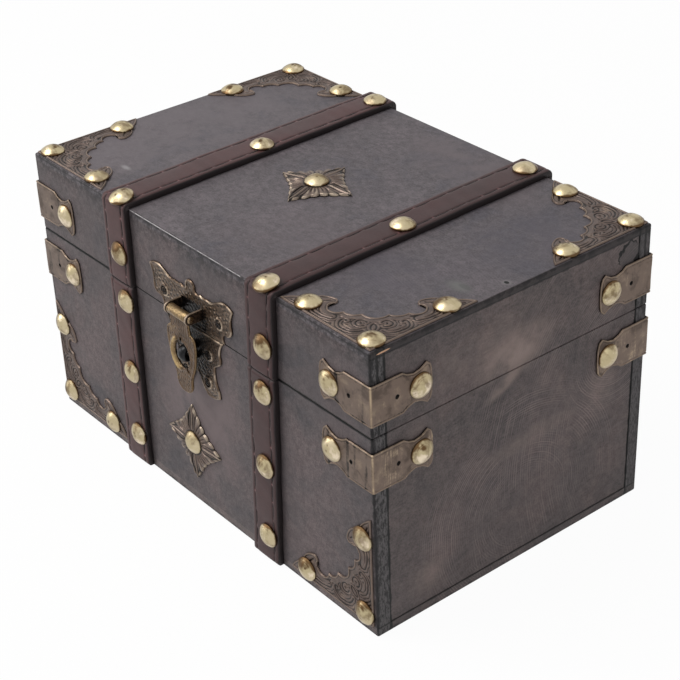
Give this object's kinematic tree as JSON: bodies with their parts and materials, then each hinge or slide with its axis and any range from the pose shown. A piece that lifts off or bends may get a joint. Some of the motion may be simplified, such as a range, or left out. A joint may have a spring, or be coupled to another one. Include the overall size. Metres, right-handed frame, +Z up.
{
  "type": "treasure chest box",
  "caption": "Rectangular wooden keepsake chest with a hinged lid, padded straps, domed nails, bent corner brackets, ornamented corner plates and a hanging hasp latch.",
  "frame": {"origin": "centre of the chest's flat underside", "axes": "+X along the long front to the right, +Y from the latch front to the hinged back, +Z up"},
  "size_m": [0.248, 0.1685, 0.1424],
  "materials": {
    "board": "satin grey stain",
    "strap": "satin",
    "nail": "aged polish",
    "ornament": "antique",
    "latch": "antique",
    "staple": "dark",
    "hinge": "antique"
  },
  "bodies": {
    "chest": {"front_board": "board", "back_board": "board", "left_end_board": "board", "right_end_board": "board", "bottom_board": "board", "left_front_strap": "strap", "right_front_strap": "strap", "left_back_strap": "strap", "right_back_strap": "strap", "body_bracket_nails": "nail", "front_corner_nails": "nail", "front_diamond_nail": "nail", "body_strap_nails": "nail", "front_corner_plate_left": "ornament", "front_corner_plate_right": "ornament", "front_diamond": "ornament", "body_bracket_front_left": "ornament", "body_bracket_front_right": "ornament", "body_bracket_back_left": "ornament", "body_bracket_back_right": "ornament", "latch_body_plate": "latch", "latch_body_pins": "latch", "latch_staple": "staple", "left_hinge_body_leaf": "hinge", "right_hinge_body_leaf": "hinge", "hinge_body_screws": "hinge", "left_hinge_pin": "hinge", "right_hinge_pin": "hinge"},
    "lid": {"lid_top_panel": "board", "lid_front_board": "board", "lid_back_board": "board", "lid_left_end_board": "board", "lid_right_end_board": "board", "left_lid_strap": "strap", "right_lid_strap": "strap", "lid_bracket_nails": "nail", "lid_corner_nails": "nail", "lid_diamond_nail": "nail", "lid_strap_nails": "nail", "lid_corner_plate_front_left": "ornament", "lid_corner_plate_front_right": "ornament", "lid_corner_plate_back_left": "ornament", "lid_corner_plate_back_right": "ornament", "lid_diamond": "ornament", "lid_bracket_front_left": "ornament", "lid_bracket_front_right": "ornament", "lid_bracket_back_left": "ornament", "lid_bracket_back_right": "ornament", "latch_lid_plate": "latch", "latch_lid_pins": "latch", "latch_hasp_pin": "latch", "left_hinge_lid_leaf": "hinge", "right_hinge_lid_leaf": "hinge", "hinge_lid_screws": "hinge"},
    "hasp": {"latch_tongue": "latch"}
  },
  "joints": [
    {"name": "lid_hinge", "type": "hinge", "parent": "chest", "child": "lid", "pos_m": [0, 0.07855, 0.0972], "axis": [-1, 0, 0], "range_deg": [0, 105]},
    {"name": "hasp_hinge", "type": "hinge", "parent": "lid", "child": "hasp", "pos_m": [0.0032, -0.08325, 0.1056], "axis": [-1, 0, 0], "range_deg": [-7, 165]}
  ]
}
